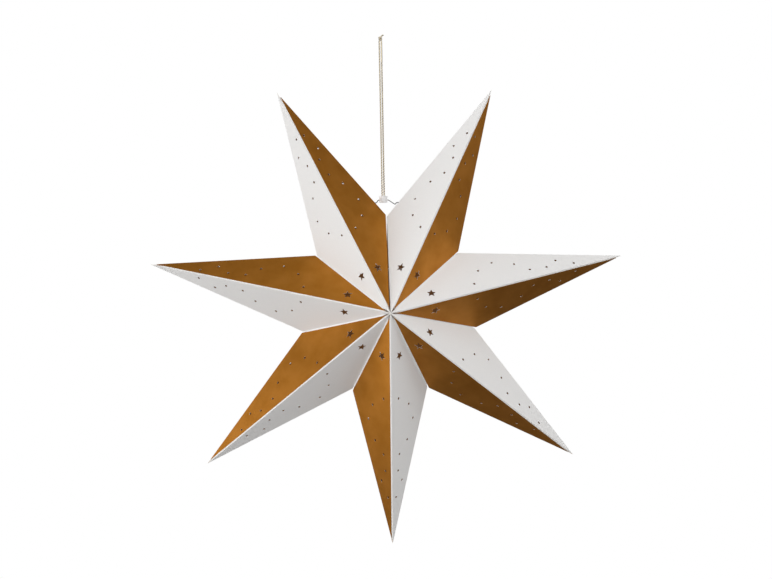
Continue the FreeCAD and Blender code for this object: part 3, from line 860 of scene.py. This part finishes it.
sleeve, shader = finish_of("cell_sleeve", (0.05, 0.16, 0.12), 0.35)
print_grain = noise_on(sleeve, 900.0, 4.0, (0.3, 1.0, 1.0))
colours_from(sleeve, shader, print_grain.outputs["Fac"], (0.04, 0.14, 0.10), (0.06, 0.18, 0.14))
roughness_from(sleeve, shader, print_grain.outputs["Fac"], 0.28, 0.45)

bare_steel, shader = finish_of("nickelled_steel", (0.62, 0.61, 0.58), 0.3, 1.0)
rubbed = noise_on(bare_steel, 1200.0, 4.0, (0.2, 1.0, 1.0))
colours_from(bare_steel, shader, rubbed.outputs["Fac"], (0.55, 0.54, 0.51), (0.68, 0.67, 0.64))
roughness_from(bare_steel, shader, rubbed.outputs["Fac"], 0.2, 0.45)

cell_count = 3
cell_radius = 0.0051
sleeve_margin = 0.0008
button_height = 0.0013
for i in range(cell_count):
    low, high = (Vector(corner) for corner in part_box("battery_cell_%d" % (i + 1)))
    middle = (low + high) / 2
    half = (high.x - low.x) / 2
    shoulder = half - button_height
    profile = [
        # Minus end: flat plate, groove and rolled rim.
        (-half, 0.0), (-half, 0.0034), (-half + 0.0002, 0.0037), (-half + 0.0002, 0.0044),
        (-half, 0.0046), (-half + 0.0001, 0.0049), (-half + 0.0005, cell_radius),
        # The sleeve's two ends.
        (-half + sleeve_margin, cell_radius), (shoulder - sleeve_margin, cell_radius),
        # Plus end: rolled rim, sunk plate and button.
        (shoulder - 0.0005, cell_radius), (shoulder - 0.0001, 0.0049), (shoulder, 0.0046),
        (shoulder - 0.0004, 0.0043), (shoulder - 0.0004, 0.0022), (shoulder - 0.0001, 0.0019),
        (half - 0.0003, 0.0018), (half, 0.0015), (half, 0.0),
    ]
    cell = turned("cell_%d" % (i + 1), profile, middle, 1 if i % 2 == 0 else -1)
    cell.data.materials.append(sleeve)
    cell.data.materials.append(bare_steel)
    for face in cell.data.polygons:
        from_axis = math.hypot(face.center.y - middle.y, face.center.z - middle.z)
        face.material_index = 0 if from_axis > 0.97 * cell_radius else 1
    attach(cell, "bracket")
    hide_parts("battery_cell_%d" % (i + 1))


# ---------------------------------------------------------------- lamp case and battery door
# The case, and the door that slides over the cells at its back, are moulded in off-white plastic
# with a fine spark grain. They keep their construction shapes, with the small edge rounds of a mould.

def dress(names, material, edge_round):
    """Gives construction nodes a material and rounds their sharp edges."""
    for name in names:
        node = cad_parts[name]
        node.data.materials.clear()
        node.data.materials.append(material)
        softened = node.modifiers.new("softened_edges", "BEVEL")
        softened.width = edge_round
        softened.segments = 2
        softened.limit_method = "ANGLE"
        softened.angle_limit = math.radians(40.0)
        softened.use_clamp_overlap = True


moulded, shader = finish_of("moulded_case_plastic", (0.80, 0.79, 0.76), 0.5)
spark_grain = noise_on(moulded, 2200.0, 3.0)
colours_from(moulded, shader, spark_grain.outputs["Fac"], (0.78, 0.77, 0.74), (0.82, 0.81, 0.78))
roughness_from(moulded, shader, spark_grain.outputs["Fac"], 0.42, 0.6)
bump_from(moulded, shader, spark_grain.outputs["Fac"], 0.00006, 0.5)
dress(["lamp_case", "battery_door"], moulded, 0.0003)


# ---------------------------------------------------------------- lamp cup
# Frosted translucent plastic cup, moulded with leaning sides. It hangs under the case, round the
# chips, and spreads their light inside the star.

frosted, shader = finish_of("frosted_cup_plastic", (0.93, 0.93, 0.92), 0.55)
shader.inputs["Transmission Weight"].default_value = 0.7
frost = noise_on(frosted, 3000.0, 4.0)
roughness_from(frosted, shader, frost.outputs["Fac"], 0.45, 0.7)
bump_from(frosted, shader, frost.outputs["Fac"], 0.00004, 0.4)
dress(["lamp_cup"], frosted, 0.0004)


# ---------------------------------------------------------------- battery contacts
# Six contacts pressed from nickelled spring steel, on the two end walls of the cell bay: a flat
# button at each plus end and a bent leaf at each minus end.

dress(["battery_contacts"], bare_steel, 0.0001)


# ---------------------------------------------------------------- LED board
# Rectangular glass-fibre circuit board with a green solder mask. It lies flat on a ledge in the
# bottom of the case, over the cup.

solder_mask, shader = finish_of("green_solder_mask", (0.02, 0.16, 0.07), 0.35)
glass_weave = noise_on(solder_mask, 1600.0, 2.0, (1.0, 0.4, 1.0))
colours_from(solder_mask, shader, glass_weave.outputs["Fac"], (0.015, 0.13, 0.055), (0.03, 0.20, 0.09))
roughness_from(solder_mask, shader, glass_weave.outputs["Fac"], 0.25, 0.5)
dress(["led_board"], solder_mask, 0.0001)


# ---------------------------------------------------------------- LED chips
# Three small square chips with yellow phosphor in their faces, soldered to the underside of the
# board.

phosphor, shader = finish_of("led_phosphor", (0.85, 0.68, 0.16), 0.45)
grit = noise_on(phosphor, 6000.0, 3.0)
colours_from(phosphor, shader, grit.outputs["Fac"], (0.78, 0.60, 0.12), (0.90, 0.74, 0.22))
bump_from(phosphor, shader, grit.outputs["Fac"], 0.00002, 0.5)
dress(["led_chips"], phosphor, 0.0002)


# ---------------------------------------------------------------- slide switch
# A steel body behind the back wall of the case, below the cells, and a ribbed knob of black
# plastic that slides in the slot there.

black_plastic, shader = finish_of("switch_black_plastic", (0.035, 0.035, 0.037), 0.45)
scuff = noise_on(black_plastic, 2500.0, 5.0)
colours_from(black_plastic, shader, scuff.outputs["Fac"], (0.025, 0.025, 0.027), (0.055, 0.055, 0.058))
roughness_from(black_plastic, shader, scuff.outputs["Fac"], 0.35, 0.6)
dress(["switch_knob"], black_plastic, 0.00012)
dress(["switch_body"], bare_steel, 0.0003)
